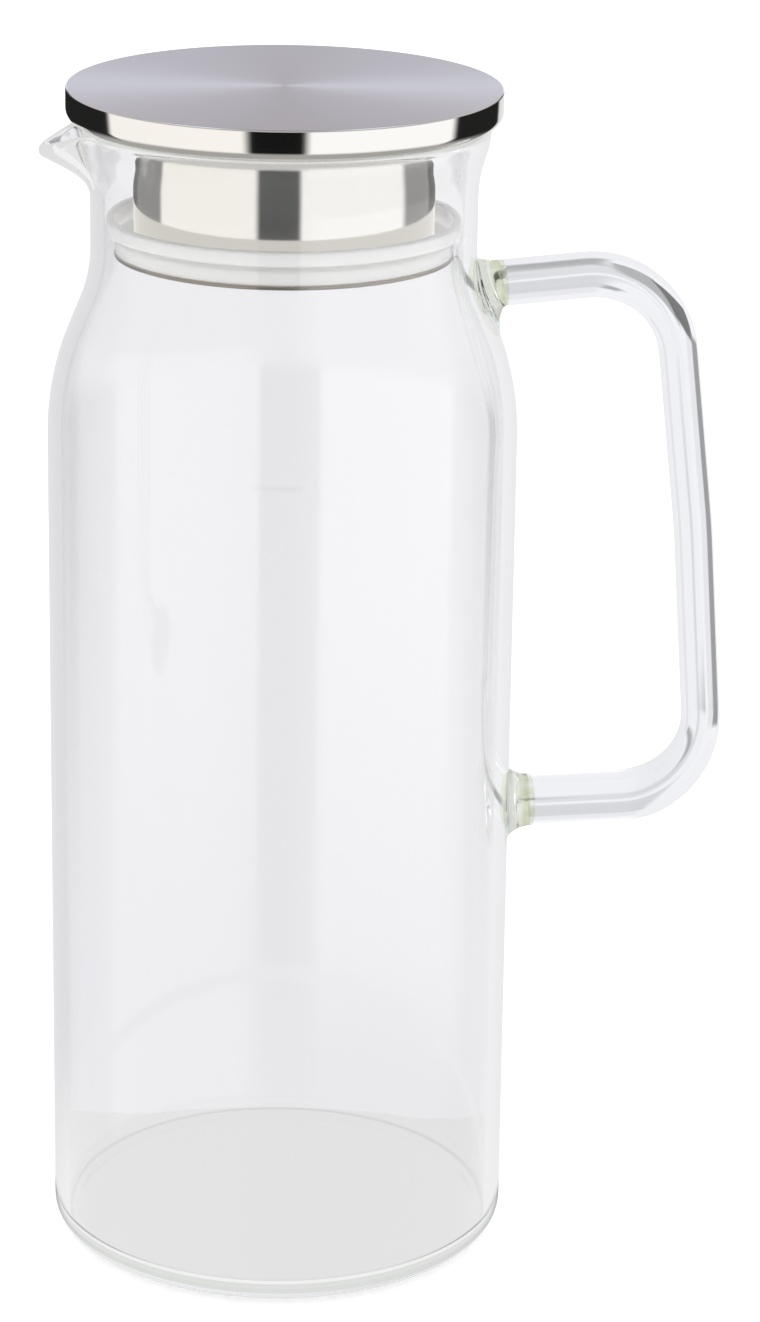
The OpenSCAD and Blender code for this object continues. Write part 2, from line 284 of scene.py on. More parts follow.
top_end = Vector((wall_r(TOP_ARM_Z) + TOP_WELD_LEN, TOP_ARM_Z))
top_corner = Vector((BODY_R + GRIP_GAP_TOP, TOP_ARM_Z + TOP_ARM_RISE))
grip_bend = Vector((BODY_R + GRIP_GAP_MID, GRIP_BEND_Z))
bottom_corner = Vector((BODY_R + GRIP_GAP_BOTTOM, BOTTOM_ARM_Z))
bottom_end = Vector((BODY_R + BOTTOM_WELD_LEN, BOTTOM_ARM_Z))
top_heading = (top_corner - top_end).normalized()
bottom_heading = (bottom_corner - bottom_end).normalized()


def turned(v, a):
    """A vector in the plane of the handle, turned by an angle."""
    return Vector((v.x * math.cos(a) - v.y * math.sin(a), v.x * math.sin(a) + v.y * math.cos(a)))


def bend_stations(before, at, after, r, t_in, t_out, steps):
    """Stations (place, heading, half thickness) round a bend of the rod."""
    back, ahead = (before - at).normalized(), (after - at).normalized()
    half_a = math.acos(back.dot(ahead)) / 2
    centre = at + (back + ahead).normalized() * r / math.sin(half_a)
    start = at + back * r / math.tan(half_a) - centre
    stations = []
    for i in range(steps + 1):
        share = i / steps
        a = -share * (math.pi - 2 * half_a)
        eased = share * share * (3 - 2 * share)
        stations.append((centre + turned(start, a), turned(-back, a), blend(t_in, t_out, eased) / 2))
    return stations


ROD_BURIED = 1.5
rod_line = (
    [(top_end - top_heading * ROD_BURIED, top_heading, TOP_ARM_T / 2)]
    + bend_stations(top_end, top_corner, grip_bend, TOP_CORNER_R, TOP_ARM_T, GRIP_T, CORNER_STEPS)
    + bend_stations(top_corner, grip_bend, bottom_corner, GRIP_BEND_R, GRIP_T, GRIP_T, GRIP_STEPS)
    + bend_stations(grip_bend, bottom_corner, bottom_end, BOTTOM_CORNER_R, GRIP_T, BOTTOM_ARM_T,
                    CORNER_STEPS)
    + [(bottom_end - bottom_heading * ROD_BURIED, -bottom_heading, BOTTOM_ARM_T / 2)])


def rod_ring(place, heading, above, below, half_w):
    """A ring square to its heading in the plane of the handle."""
    up = turned(heading, QUARTER)
    ring = []
    for j in range(ROD_SIDES):
        a = 2 * math.pi * j / ROD_SIDES
        at = place + up * (above if math.sin(a) > 0 else below) * math.sin(a)
        ring.append((at.x, half_w * math.cos(a), at.y))
    return ring


rod = lofted_piece("handle_rod", [rod_ring(p, h, t, t, ROD_W / 2) for p, h, t in rod_line])
print("rod stations:", len(rod_line), "faces:", len(rod.data.polygons))

# %% [markdown]
# ## The welds
# Where the rod was fused to the jug, the hot glass has drawn itself into a skirt that runs
# out on the wall. Each ring of the skirt follows a quarter of an ellipse, from the rod's end
# to the wall, and the last ring lies on the wall itself, so the skirt has no step.

# %% Make the two welds
WELD_SPREAD, TOP_WELD_RISE, TOP_WELD_RUN = 4.6, 1.8, 6.5
WELD_STEPS, WELD_BURIED, WELD_INTO_ROD, WELD_TUCK = 14, 1.6, 0.5, 0.15
ROUNDS_TO_WALL = 30


def way_to_wall(point, heading):
    """How far a point is from the jug's outer face, against the heading."""
    way = 0
    for _ in range(ROUNDS_TO_WALL):
        x, z = point[0] - heading.x * way, point[2] - heading.y * way
        way += x - math.sqrt(wall_r(z) ** 2 - point[1] ** 2)
    return way


def weld_piece(name, end, heading, half_t, above, below):
    """A skirt from the end of the rod to the wall, that spreads above and below by so much."""
    foot = rod_ring(end, heading, half_t + above, half_t + below, ROD_W / 2 + WELD_SPREAD)
    ways = [way_to_wall(p, heading) for p in foot]

    def ring(more, share):
        """The skirt's ring, for more spread, at a share of the way to the wall."""
        flat = rod_ring(end, heading, half_t + above * more, half_t + below * more,
                        ROD_W / 2 + WELD_SPREAD * more)
        return [(p[0] - heading.x * share * w, p[1], p[2] - heading.y * share * w)
                for p, w in zip(flat, ways)]

    buried = [(p[0] - heading.x * (w + WELD_BURIED), p[1], p[2] - heading.y * (w + WELD_BURIED))
              for p, w in zip(foot, ways)]
    skirt = []
    for k in range(WELD_STEPS + 1):
        a = QUARTER * k / WELD_STEPS
        skirt.append(ring(1 - math.sin(a), math.cos(a)))
    tucked = rod_ring(end + heading * WELD_INTO_ROD, heading, half_t - WELD_TUCK,
                      half_t - WELD_TUCK, ROD_W / 2 - WELD_TUCK)
    return lofted_piece(name, [buried] + skirt + [tucked])


upper_weld = weld_piece("upper_weld_glass", top_end, top_heading, TOP_ARM_T / 2, TOP_WELD_RISE,
                        TOP_WELD_RUN)
lower_weld = weld_piece("lower_weld_glass", bottom_end, bottom_heading, BOTTOM_ARM_T / 2,
                        WELD_SPREAD, WELD_SPREAD)
print("weld faces:", len(upper_weld.data.polygons), len(lower_weld.data.polygons))

# %% [markdown]
# ## One piece of glass
# On the real jug the rod, the welds and the wall are one piece of glass: light passes from
# one into the next without bending. Four closed meshes that only touch would show false
# faces inside. So a boolean union melts them together first, and each face keeps the
# material of the piece it came from.

# %% Melt the glass together
def empty_material(name):
    """A material whose default nodes are gone."""
    material = bpy.data.materials.new(name)
    material.use_nodes = True
    material.node_tree.nodes.clear()
    return material


clear_glass = empty_material("borosilicate_blown_clear")
rod_glass = empty_material("borosilicate_rod_bent")
weld_glass = empty_material("borosilicate_fused_green")
joint_glass = empty_material("borosilicate_melted_joint")
for piece, material in ((jug, clear_glass), (rod, rod_glass), (upper_weld, weld_glass),
                        (lower_weld, weld_glass)):
    piece.data.materials.append(material)

for other in (upper_weld, lower_weld, rod):
    melt = jug.modifiers.new("melt", "BOOLEAN")
    melt.operation, melt.solver, melt.object = "UNION", "MANIFOLD", other
    melt.material_mode = "TRANSFER"
melted = bpy.data.meshes.new_from_object(jug.evaluated_get(bpy.context.evaluated_depsgraph_get()))
for piece in (jug, rod, upper_weld, lower_weld):
    bpy.data.objects.remove(piece)
print("melted glass:", len(melted.polygons), "faces of", [m.name for m in melted.materials])

# %% [markdown]
# Then the melted mesh is parted again along the lines where the pieces met, so that each
# has its own name and finish. Each part is closed there with a fan of faces. The two fans of
# a joint lie on each other, and they let light straight through, so the optics stay those of
# one piece of glass while every part is a closed solid of its own.

# %% Part it into named pieces
SHARP_ANGLE = math.radians(50)
WELD_DIVIDE_Z = GRIP_BEND_Z * MM


def glass_part(name, material, keep):
    """The faces of one material whose middle passes keep, closed where they met the rest."""
    index = [m.name for m in melted.materials].index(material.name)
    bm = bmesh.new()
    bm.from_mesh(melted)
    bmesh.ops.delete(bm, context="FACES", geom=[
        f for f in bm.faces if f.material_index != index or not keep(f.calc_center_median())])
    for face in bm.faces:
        face.material_index = 0
    # Each open rim is walked from point to point, always in the same order, and gets a fan.
    middles = []
    open_edges = [e for e in bm.edges if e.is_boundary]
    while open_edges:
        rim, loop = [open_edges[0].verts[0]], []
        for point in rim:
            near = [e for e in point.link_edges if e.is_boundary and e not in loop]
            loop += near
            rim += [e.other_vert(point) for e in near if e.other_vert(point) not in rim]
        open_edges = [e for e in open_edges if e not in loop]
        middle = bm.verts.new(sum((point.co for point in rim), Vector()) / len(rim))
        middles.append(middle)
        for edge in loop:
            bm.faces.new((*edge.verts, middle)).material_index = 1
    bmesh.ops.recalc_face_normals(bm, faces=bm.faces)
    # Two faces at exactly one place can hide each other, so each fan is drawn back by a hair.
    bm.normal_update()
    for middle in middles:
        middle.co -= JOINT_GAP * middle.normal
    mesh = bpy.data.meshes.new(name)
    bm.to_mesh(mesh)
    bm.free()
    mesh.shade_smooth()
    mesh.set_sharp_from_angle(angle=SHARP_ANGLE)
    mesh.materials.append(material)
    mesh.materials.append(joint_glass)
    part = bpy.data.objects.new(name, mesh)
    bpy.context.scene.collection.objects.link(part)
    print(name, "faces:", len(mesh.polygons))
    return part


JOINT_GAP = 2e-8
jug_body = glass_part("jug_body", clear_glass, lambda at: True)
handle_rod = glass_part("handle_rod", rod_glass, lambda at: True)
upper_weld = glass_part("upper_weld_knot", weld_glass, lambda at: at.z > WELD_DIVIDE_Z)
lower_weld = glass_part("lower_weld_knot", weld_glass, lambda at: at.z < WELD_DIVIDE_Z)

# %% [markdown]
# ## The lid
# The lid is a pressed disc of stainless steel whose edge is rolled under, closed by a flat
# plate. Below it hangs the hollow plug, a short tube with a floor that stands out as a thin
# flange, and the silicone seal lies on that flange.

# %% Make the turned pieces of the lid
LID_R, LID_LOW_Z, LID_TOP_Z, STEEL_T = 47.9, 261.9, 269.1, 0.8
LID_TOP_EDGE_R, LID_LOW_EDGE_R, LID_BEND_R, LID_CURL_W = 0.5, 2.5, 0.3, 3
UNDERPLATE_Z = LID_LOW_Z + STEEL_T
PLUG_R, FLANGE_R, FLANGE_Z = 33.1, 37.4, 232.6
LID_STEPS, LID_EDGE_STEPS, PLATE_EDGE_STEPS = 240, 10, 4
PLATE_EDGE_R, PLUG_FLOOR_EDGE_R = 0.2, 0.25
level_angles = [2 * math.pi * i / LID_STEPS for i in range(LID_STEPS)]


def turned_round(name, outline):
    """A plain turned piece, with the same outline all round."""
    return turned_piece(name, lambda a: outline, level_angles)


def lid_outline():
    """Half a section of the lid: a disc whose edge turns down and is rolled under."""
    low = (LID_R - LID_LOW_EDGE_R, LID_LOW_Z + LID_LOW_EDGE_R)
    top = (LID_R - LID_TOP_EDGE_R, LID_TOP_Z - LID_TOP_EDGE_R)
    bend = (LID_R - STEEL_T - LID_BEND_R, LID_TOP_Z - STEEL_T - LID_BEND_R)
    curl_r = low[0] - LID_CURL_W
    return ([(0, LID_TOP_Z - STEEL_T)]
            + arc(bend, LID_BEND_R, QUARTER, 0, LID_EDGE_STEPS)
            + arc(low, LID_LOW_EDGE_R - STEEL_T, 0, -QUARTER, LID_EDGE_STEPS)
            + [(curl_r, UNDERPLATE_Z), (curl_r, LID_LOW_Z)]
            + arc(low, LID_LOW_EDGE_R, -QUARTER, 0, LID_EDGE_STEPS)
            + arc(top, LID_TOP_EDGE_R, 0, QUARTER, LID_EDGE_STEPS)
            + [(0, LID_TOP_Z)])


def plate_outline(r, z, thick, edge):
    """A round plate with small rounded edges."""
    return ([(0, z)] + arc((r - edge, z + edge), edge, -QUARTER, 0, PLATE_EDGE_STEPS)
            + arc((r - edge, z + thick - edge), edge, 0, QUARTER, PLATE_EDGE_STEPS)
            + [(0, z + thick)])


lid_top = turned_round("lid_top", lid_outline())
lid_plate = turned_round("lid_underplate_disc",
                         plate_outline(LID_R - LID_LOW_EDGE_R, UNDERPLATE_Z, STEEL_T, PLATE_EDGE_R))
plug_tube = turned_round("plug_tube", [
    (PLUG_R, FLANGE_Z + STEEL_T), (PLUG_R, UNDERPLATE_Z), (PLUG_R - STEEL_T, UNDERPLATE_Z),
    (PLUG_R - STEEL_T, FLANGE_Z + STEEL_T)])
plug_base = turned_round("plug_floor_disc",
                         plate_outline(FLANGE_R, FLANGE_Z, STEEL_T, PLUG_FLOOR_EDGE_R))
print("lid pieces:", lid_top.name, lid_plate.name, plug_tube.name, plug_base.name)

# %% [markdown]
# The seal is moulded silicone: a low band that sits on the flange, and above it the sealing
# lip that reaches out to the wall of the neck. Between the lip and the plug is a narrow
# pocket, which lets the lip give way. From in front the lip hides it, so the plug seems to
# run straight down into the seal.

# %% Make the seal
SEAL_Z, WEB_Z, POCKET_Z = 233.5, 238.1, 236.6
SEAL_IN_R, BAND_R = PLUG_R + 0.05, FLANGE_R - 0.1
SEAL_LIP_R, SEAL_LIP_W, SEAL_LIP_H, SEAL_EDGE_R = BORE_R - 0.3, 2.3, 3.1, 0.6
BAND_EDGE_R, SEAL_EDGE_STEPS = 0.4, 6


def seal_outline():
    """Half a section of the seal: the band, the lip and the pocket behind the lip."""
    lip_top_z, lip_in_r = WEB_Z + SEAL_LIP_H, SEAL_LIP_R - SEAL_LIP_W
    outline = [(SEAL_IN_R, SEAL_Z)]
    for r, z, edge_r, start, end in (
            (BAND_R - BAND_EDGE_R, SEAL_Z + BAND_EDGE_R, BAND_EDGE_R, -QUARTER, 0),
            (BAND_R + BAND_EDGE_R, WEB_Z - BAND_EDGE_R, BAND_EDGE_R, 2 * QUARTER, QUARTER),
            (SEAL_LIP_R - SEAL_EDGE_R, WEB_Z + SEAL_EDGE_R, SEAL_EDGE_R, -QUARTER, 0),
            (SEAL_LIP_R - SEAL_EDGE_R, lip_top_z - SEAL_EDGE_R, SEAL_EDGE_R, 0, QUARTER),
            (lip_in_r + SEAL_EDGE_R, lip_top_z - SEAL_EDGE_R, SEAL_EDGE_R, QUARTER, 2 * QUARTER)):
        outline += arc((r, z), edge_r, start, end, SEAL_EDGE_STEPS)
    return outline + [(lip_in_r, POCKET_Z), (SEAL_IN_R, POCKET_Z)]


seal = turned_round("silicone_seal", seal_outline())
for piece in (lid_top, lid_plate, plug_tube, plug_base, seal):
    piece.data.set_sharp_from_angle(angle=SHARP_ANGLE)
print("seal faces:", len(seal.data.polygons))

# %% [markdown]
# ## Colours and nodes
# Colours are written as the sRGB hex values that a paint program shows, and Blender wants
# linear light, so one function converts them. One function adds a shader node with its
# settings. It gives each input a plain value, or links it to a socket or to another node's
# first output, so a surface reads from its pattern down to its shader.

# %% Helpers for colours and nodes
def linear(hex_code):
    """An sRGB colour such as 'c8ccd0' as linear red, green, blue and alpha."""
    parts = [int(hex_code[i:i + 2], 16) / 255 for i in (0, 2, 4)]
    return [p / 12.92 if p <= 0.04045 else ((p + 0.055) / 1.055) ** 2.4 for p in parts] + [1.0]


def add(tree, kind, inputs=None, **settings):
    """Adds a shader node, with its settings, and a value, socket or node for each input."""
    node = tree.nodes.new("ShaderNode" + kind)
    for name, value in settings.items():
        setattr(node, name, value)
    for key, value in (inputs or {}).items():
        if isinstance(value, bpy.types.Node):
            value = next(socket for socket in value.outputs if socket.enabled)
        if isinstance(value, bpy.types.NodeSocket):
            tree.links.new(value, node.inputs[key])
        else:
            node.inputs[key].default_value = value
    return node


def set_ramp(node, stops):
    """Fills a colour ramp with (position, linear colour) stops."""
    elements = node.color_ramp.elements
    while len(elements) > 1:
        elements.remove(elements[-1])
    elements[0].position, elements[0].color = stops[0]
    for position, colour in stops[1:]:
        elements.new(position).color = colour


print("helpers ready, for example mid grey is", linear("808080")[0])

# %% [markdown]
# ## Glass
# Borosilicate glass has an index of refraction of 1.47. Its surface is fire polished, so it
# has no roughness, but blowing leaves it very slightly wavy, which makes the background swim
# a little. Cycles sends no light from a lamp through refracting glass, so for shadow rays
# the glass becomes transparent: the real jug throws almost no shadow. The thick edges of the
# glass guide light: it is thrown from face to face many times and comes out pale, a little
# green. The renderer stops after a few such bounces and would show black, so from the third
# one on the glass glows with painted light in the tone that the guided light has.

# %% What glass does to light
GLASS_IOR = 1.47
# Bounces are whole numbers, so the limits lie between them.
ANY_BOUNCE, GUIDED_AFTER = 0.5, 2.5


def ray_after(tree, bounces, limit):
    """1 for a ray with more bounces of a kind than the limit, and 0 for any other."""
    path = add(tree, "LightPath")
    return add(tree, "Math", {0: path.outputs[bounces + " Depth"], 1: limit},
               operation="GREATER_THAN")


def glass_surface(material, colour, roughness, wave_mm, wave_height_mm, shadow, guided):
    """Glass with faint waves of a real size, a pale shadow and a painted glow for guided light."""
    tree = material.node_tree
    place = add(tree, "TexCoord").outputs["Object"]
    waves = add(tree, "TexNoise", {"Vector": place, "Scale": 1 / (wave_mm * MM), "Detail": 1.0})
    bump = add(tree, "Bump", {"Height": waves, "Distance": wave_height_mm * MM, "Strength": 1.0})
    glass = add(tree, "BsdfPrincipled", {
        "Base Color": linear(colour), "Roughness": roughness, "IOR": GLASS_IOR,
        "Transmission Weight": 1.0, "Normal": bump})
    guided_light = add(tree, "Emission", {"Color": linear(guided), "Strength": 1.0})
    surface = add(tree, "MixShader", {
        0: ray_after(tree, "Glossy", GUIDED_AFTER), 1: glass, 2: guided_light})
    passing = add(tree, "BsdfTransparent", {"Color": linear(shadow)})
    is_shadow = add(tree, "LightPath").outputs["Is Shadow Ray"]
    surface = add(tree, "MixShader", {0: is_shadow, 1: surface, 2: passing})
    add(tree, "OutputMaterial", {"Surface": surface})
    material.cycles.emission_sampling = "NONE"
    return glass


print("glass with IOR", GLASS_IOR)

# %% Glass materials
# Blown clear glass is colourless, and what is seen through it swims slowly.
glass_surface(clear_glass, "fdfdfd", roughness=0.0, wave_mm=30, wave_height_mm=0.02,
              shadow="f8f9f9", guided="dee0dd")
# The bent rod is colourless too, and shows the studio as bright and dark streaks along it.
glass_surface(rod_glass, "fbfcfc", roughness=0.0, wave_mm=12, wave_height_mm=0.02,
              shadow="f4f5f5", guided="d8dad8")
# The fused knots are cloudy and greenish, the more so at the end of the rod, where the glass
# was hottest. Noise of a real size lets the green run out unevenly.
weld = glass_surface(weld_glass, "e9eddb", roughness=0.12, wave_mm=3, wave_height_mm=0.12,
                     shadow="e8ebda", guided="b4bb98")
WELD_CORE, WELD_EDGE, CLOUD_MM, CLOUD_REACH = 6.5, 11, 1.6, 6
tree = weld_glass.node_tree
place = add(tree, "TexCoord").outputs["Object"]
ways = [add(tree, "VectorMath", {0: place, 1: (end.x * MM, 0, end.y * MM)}, operation="DISTANCE")
        for end in (top_end, bottom_end)]
nearest = add(tree, "Math", {0: ways[0], 1: ways[1]}, operation="MINIMUM")
nearest_mm = add(tree, "Math", {0: nearest, 1: MM}, operation="DIVIDE")
clouds = add(tree, "TexNoise", {"Vector": place, "Scale": 1 / (CLOUD_MM * MM), "Detail": 2.0})
drift = add(tree, "Math", {0: clouds, 1: CLOUD_REACH}, operation="MULTIPLY")
away = add(tree, "Math", {0: nearest_mm, 1: drift}, operation="ADD")
fade = add(tree, "MapRange", {"Value": away, "From Min": WELD_CORE, "From Max": WELD_EDGE})
shade = add(tree, "ValToRGB", {"Fac": fade})
set_ramp(shade, [(0.0, linear("a3ad74")), (0.4, linear("d3dab4")), (1.0, linear("f0f3e9"))])
tree.links.new(shade.outputs["Color"], weld.inputs["Base Color"])

# Inside a melted joint there is nothing to see: light goes straight on.
passing = add(joint_glass.node_tree, "BsdfTransparent", {"Color": linear("ffffff")})
add(joint_glass.node_tree, "OutputMaterial", {"Surface": passing})
print("glass materials:", clear_glass.name, rod_glass.name, weld_glass.name, joint_glass.name)

# %% [markdown]
# ## Steel
# The lid is stainless steel, brushed in circles on a turning plate. The grooves are too fine
# to see one by one, but they spread each reflection across their own direction, which makes
# the pale wedges on a brushed lid. An anisotropic metal does that, with its tangent round
# the axis. Thin rings of noise stand for the coarser grooves.

# %% Steel materials
ACROSS_THE_GROOVES = 0.25


def steel_surface(name, colour, roughness, anisotropy, groove_mm, groove_height_mm):
    """Steel with grooves in rings round the axis."""
    material = empty_material(name)
    tree = material.node_tree
    place = add(tree, "TexCoord").outputs["Object"]
    parts = add(tree, "SeparateXYZ", {"Vector": place}).outputs
    level = add(tree, "CombineXYZ", {"X": parts["X"], "Y": parts["Y"]})
    radius = add(tree, "VectorMath", {0: level}, operation="LENGTH")
    ring = add(tree, "CombineXYZ", {"X": radius, "Y": parts["Z"]})
    grooves = add(tree, "TexNoise", {"Vector": ring, "Scale": 1 / (groove_mm * MM), "Detail": 3.0})
    bump = add(tree, "Bump", {
        "Height": grooves, "Distance": groove_height_mm * MM, "Strength": 1.0})
    tangent = add(tree, "Tangent", direction_type="RADIAL", axis="Z")
    steel = add(tree, "BsdfPrincipled", {
        "Base Color": linear(colour), "Metallic": 1.0, "Roughness": roughness,
        "Anisotropic": anisotropy, "Anisotropic Rotation": ACROSS_THE_GROOVES,
        "Normal": bump, "Tangent": tangent})
    add(tree, "OutputMaterial", {"Surface": steel})
    return material


# The brushed top is a soft mauve grey with two pale wedges. Its base colour is darker than
# that of the turned steel, partly as painted shade for the shadows in its grooves. Real brush
# lines lie about 0.05 mm apart and would not show, so they are drawn ten times as wide.
lid_steel = steel_surface("stainless_steel_circular_brushed", "c4c0c4", roughness=0.3,
                          anisotropy=0.85, groove_mm=0.5, groove_height_mm=0.004)
# The rolled edge is turned bright: almost a mirror, with crisp dark gaps in it.
edge_steel = steel_surface("stainless_steel_bright_turned", "d2d0cd", roughness=0.07,
                           anisotropy=0.4, groove_mm=0.3, groove_height_mm=0.0004)
# The plug is turned to a satin, which draws its reflections out up and down.
plug_steel = steel_surface("stainless_steel_satin_turned", "d2d0cd", roughness=0.09,
                           anisotropy=0.75, groove_mm=0.8, groove_height_mm=0.0006)
# The floor of the plug is plain rolled sheet. Only its edge is seen, as one dark line under the
# seal: its base colour, much darker than the plug's, is painted shade there.
flange_steel = steel_surface("stainless_steel_plain_rolled", "8d877f", roughness=0.3,
                             anisotropy=0.3, groove_mm=0.8, groove_height_mm=0.001)
print("steel:", lid_steel.name, edge_steel.name, plug_steel.name, flange_steel.name)

# %% [markdown]
# ## Silicone
# Silicone is cloudy and lets light seep through it, so even the side in the narrow pocket at
# the plug is pale. A weak glow stands for the light that has come through from the outside.
# The polished plug shows the back of the lip, which the softboxes light up from outside, so
# in a reflection the silicone glows with painted light in the tone of that lit side.

# %% Silicone material
SEEPING_LIGHT, LIT_LIP = 0.015, 0.95
silicone = empty_material("silicone_translucent_moulded")
tree = silicone.node_tree
gel = add(tree, "BsdfPrincipled", {
    "Base Color": linear("f6f6f6"), "Roughness": 0.25, "IOR": 1.41, "Alpha": 0.86,
    "Subsurface Weight": 0.9, "Subsurface Radius": (1, 1, 1), "Subsurface Scale": 2 * MM,
    "Emission Color": linear("ffffff"), "Emission Strength": SEEPING_LIGHT})
lit_lip = add(tree, "Emission", {"Color": linear("fffdf8"), "Strength": LIT_LIP})
surface = add(tree, "MixShader", {0: ray_after(tree, "Glossy", ANY_BOUNCE), 1: gel, 2: lit_lip})
add(tree, "OutputMaterial", {"Surface": surface})
silicone.cycles.emission_sampling = "NONE"
print("seal of", silicone.name)

# %% [markdown]
# ## What each piece stands for
# Each piece rides on a CAD body and stands for the CAD node of the same shape. The glass
# pieces already have their materials. The lid has two: its flat top is brushed, and the rest
# of it is turned bright.

# %% Put the pieces on their bodies
FLAT_TOP = 0.02
for piece, material, slot_name, body, node in (
        (jug_body, None, "clear_glass", "jug", "glass_body"),
        (handle_rod, None, "rod_glass", "jug", "handle"),
        (upper_weld, None, "weld_glass", "jug", "upper_weld"),
        (lower_weld, None, "weld_glass", "jug", "lower_weld"),
        (lid_top, lid_steel, "lid_steel", "lid", "lid_shell"),
        (lid_plate, lid_steel, "lid_steel", "lid", "lid_underplate"),
        (plug_tube, plug_steel, "plug_steel", "lid", "plug_sleeve"),
        (plug_base, flange_steel, "plug_steel", "lid", "plug_floor"),
        (seal, silicone, "silicone", "seal", "seal_ring")):
    if material:
        piece.data.materials.append(material)
    if piece is lid_top:
        piece.data.materials.append(edge_steel)
        for face in piece.data.polygons:
            face.material_index = 0 if face.center.z > (LID_TOP_Z - FLAT_TOP) * MM else 1
    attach(piece, body)
    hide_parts(node)
    print(piece.name, "rides on", body, "and stands for", node)

# %% [markdown]
# ## The studio
# Glass and steel show what is round them more than what they are. The jug was photographed
# on a pale table in front of a pale backdrop, between two big softboxes, with dark gaps
# beside and between them. Lamps and cards could stand for these, but they would get in the
# way of other views. So the world itself is the studio: bands of light and dark round the
# jug, by direction. All directions are angles round the jug and above the table, in degrees.

# %% Angles of a ray in the studio
FRONT_YAW = math.radians(9)
TOWARDS_CAMERA = (-math.sin(FRONT_YAW), -math.cos(FRONT_YAW), 0)
TOWARDS_RIGHT = (math.cos(FRONT_YAW), -math.sin(FRONT_YAW), 0)
STRAIGHT_UP = (0, 0, 1)
FULL_TURN, HALF_TURN = 360, 180

world = bpy.data.worlds.new("studio")
bpy.context.scene.world = world
world.use_nodes = True
studio = world.node_tree
studio.nodes.clear()
way = add(studio, "TexCoord").outputs["Generated"]
ahead, aside, upward = [add(studio, "VectorMath", {0: way, 1: axis}, operation="DOT_PRODUCT")
                        for axis in (TOWARDS_CAMERA, TOWARDS_RIGHT, STRAIGHT_UP)]
# The front of the studio mirrors its back, so the glass looks alike from in front and behind.
either_way = add(studio, "Math", {0: ahead}, operation="ABSOLUTE")
elevation, front_angle, back_angle = [
    add(studio, "Math", {0: add(studio, "Math", sides, operation=operation)}, operation="DEGREES")
    for operation, sides in (("ARCSINE", {0: upward}), ("ARCTAN2", {0: aside, 1: ahead}),
                             ("ARCTAN2", {0: aside, 1: either_way}))]
turns = add(studio, "Math", {0: front_angle, 1: FULL_TURN}, operation="DIVIDE")
round_share = add(studio, "Math", {0: turns, 1: HALF_TURN / FULL_TURN}, operation="ADD")
print("front of the studio at yaw", round(math.degrees(FRONT_YAW)), "degrees")

# %% [markdown]
# The studio is painted from a few rings of light round the jug, which turn into one another
# with height, and from fields of light laid over them.

# %% Rings and fields of light
BRIGHTEST = 2.0
COLOUR_A, COLOUR_B = 6, 7
PLAIN, WARM, COOL = (1, 1, 1), (1.0, 0.985, 0.955), (0.967, 0.964, 1.0)
SKY, PINKISH = (0.8, 0.88, 1.0), (1.0, 0.965, 1.0)


def grey(value, tint=PLAIN):
    return [value * t for t in tint] + [1]


def ring_of_light(bands):
    """Bands (angle, level, tint) round the jug, 0 towards the camera and 90 to its right."""
    ramp = add(studio, "ValToRGB", {"Fac": round_share})
    set_ramp(ramp, [((a + HALF_TURN) / FULL_TURN, grey(v / BRIGHTEST, t)) for a, v, t in bands])
    return add(studio, "VectorMath", {0: ramp, "Scale": BRIGHTEST}, operation="SCALE")


def turning(below, above, low, high):
    """One light below an elevation and another above it, with a soft step between them."""
    step = add(studio, "MapRange", {"Value": elevation, "From Min": low, "From Max": high},
               interpolation_type="SMOOTHSTEP")
    return add(studio, "Mix", {0: step, COLOUR_A: below, COLOUR_B: above}, data_type="RGBA")


def field(under, tone, around, centre, width, middle, tall, soft):
    """Lays a field of light with soft edges over another light."""
    steps = []
    for angle, at, size in ((around, centre, width), (elevation, middle, tall)):
        off = add(studio, "Math", {0: angle, 1: at}, operation="SUBTRACT")
        off = add(studio, "Math", {0: off}, operation="ABSOLUTE")
        steps.append(add(studio, "MapRange", {
            "Value": off, "From Min": size / 2 - soft, "From Max": size / 2 + soft},
            interpolation_type="SMOOTHSTEP"))
    outside = add(studio, "Math", {0: steps[0], 1: steps[1]}, operation="MAXIMUM")
    return add(studio, "Mix", {0: outside, COLOUR_A: tone, COLOUR_B: under}, data_type="RGBA")


print("levels of light up to", BRIGHTEST)

# %% [markdown]
# The polished edge of the lid and the plug show the softboxes and the dark gaps beside them.
# The brushed top of the lid looks up, where a high field on each side is bright and a little
# blue. The glass gets softer greys, so that its edges stay pale.

# %% Light for reflections
GAP, FLAG, DARK_LINE = 0.01, 0.02, 0.1
lid_top_ring = ring_of_light([
    (-180, 1.18, SKY), (-166, 1.18, SKY), (-158, DARK_LINE, PLAIN), (158, DARK_LINE, PLAIN),
    (166, 1.22, SKY), (180, 1.18, SKY)])
lid_edge_ring = ring_of_light([
    (-180, FLAG, PLAIN), (-106, FLAG, PLAIN), (-102.5, 1.4, WARM), (-22, 1.45, WARM),
    (-17.5, GAP, PLAIN), (9.5, GAP, PLAIN), (14, 1.5, PLAIN), (97, 1.5, PLAIN),
    (102, FLAG, PLAIN), (149, FLAG, PLAIN), (153, 0.95, PLAIN), (180, 0.95, PLAIN)])
plug_ring = ring_of_light([
    (-180, 0.6, PLAIN), (-173, 0.6, PLAIN), (-168, FLAG, PLAIN), (-148, FLAG, PLAIN),
    (-144, 0.24, PLAIN), (-107, 0.3, PLAIN), (-103, 1.5, WARM), (-22, 1.52, WARM),
    (-18, GAP, PLAIN), (10.5, GAP, PLAIN), (14, 1.55, PLAIN), (98, 1.55, PLAIN),
    (104, 0.36, PLAIN), (138, 0.3, PLAIN), (142, FLAG, PLAIN), (163, FLAG, PLAIN),
    (168, 0.6, PLAIN), (180, 0.6, PLAIN)])
